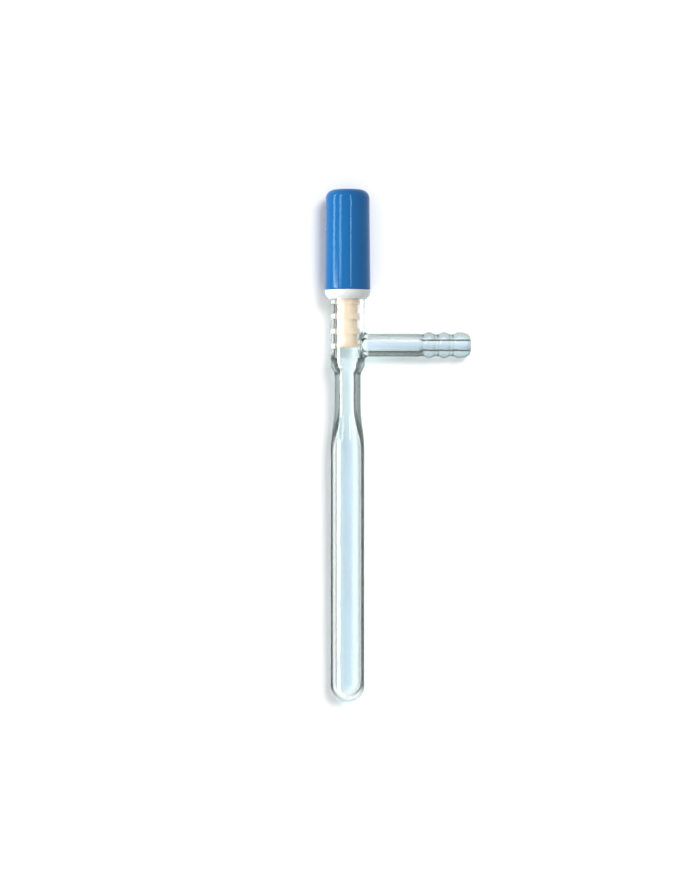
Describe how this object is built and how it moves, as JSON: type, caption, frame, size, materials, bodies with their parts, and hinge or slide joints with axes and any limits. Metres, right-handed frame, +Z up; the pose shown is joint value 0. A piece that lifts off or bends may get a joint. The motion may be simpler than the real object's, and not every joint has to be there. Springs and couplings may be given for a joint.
{
  "type": "glass stopcock",
  "caption": "Screw-down glass stopcock: blown barrel with a hose-barbed side arm, closed stem tube, sliding plastic key and a tall screw knob.",
  "frame": {"origin": "centre of the bounding box's bottom face: the level surface that the stopcock lies on", "axes": "+Y along the valve, towards the knob; +X towards the side arm's side; +Z up. The stopcock lies on the knob's rim, the stem's round bottom and the last barb."},
  "size_m": [0.0598, 0.2092, 0.0189],
  "materials": {
    "clear_glass": "clear, fire-polished",
    "cream_plastic": "waxy, satin",
    "white_plastic": "satin",
    "blue_plastic": "smooth gloss",
    "seal_rubber": "matt",
    "steel": "satin"
  },
  "bodies": {
    "glass": {"glass_body": "clear_glass"},
    "key": {"key": "cream_plastic", "seal_ring_1": "seal_rubber", "seal_ring_2": "seal_rubber", "thrust_washer_lower": "white_plastic", "thrust_washer_upper": "white_plastic", "screw_washer": "steel", "retaining_screw": "steel"},
    "knob": {"knob_liner": "white_plastic", "knob_shell": "blue_plastic"}
  },
  "joints": [
    {"name": "key_lift", "type": "slide", "parent": "glass", "child": "key", "axis": [0, 0.9999, 0.0145], "range_m": [-0.0052, 0.004]},
    {"name": "knob_turn", "type": "hinge", "parent": "key", "child": "knob", "pos_m": [-0.02052, 0.08538, 0.00965], "axis": [0, 0.9999, 0.0145], "range_deg": [-624, 480]}
  ],
  "couplings": [
    {"joint": "key_lift", "follows": "knob_turn", "m_per_rad": 0.00047746}
  ]
}
